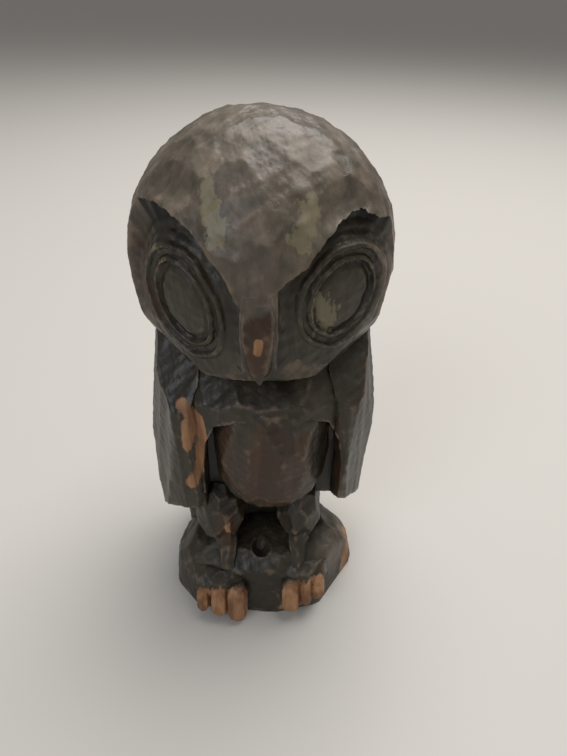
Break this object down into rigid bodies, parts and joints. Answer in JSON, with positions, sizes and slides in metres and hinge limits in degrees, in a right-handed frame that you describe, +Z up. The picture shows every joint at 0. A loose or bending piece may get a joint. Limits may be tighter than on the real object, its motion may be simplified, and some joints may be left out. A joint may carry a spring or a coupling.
{
  "type": "carved wooden owl",
  "caption": "Standing owl whittled from dark-stained wood: big domed head, V-shaped brow, ringed oval eyes, ridge beak, folded wings, long toes over the edge of its own mound base.",
  "frame": {"origin": "middle of the flat underside, below the owl's own upright axis", "axes": "+Z up; the owl faces -Y; +X to the right of someone who looks at its face"},
  "size_m": [0.0757, 0.0727, 0.1591],
  "materials": {
    "stained_wood": "dark stain with a soft wax sheen, rubbed through to orange-tan wood on the toes, one wing's edge and the base's rim"
  },
  "bodies": {
    "root": {"carved_owl": "stained_wood"}
  },
  "joints": []
}
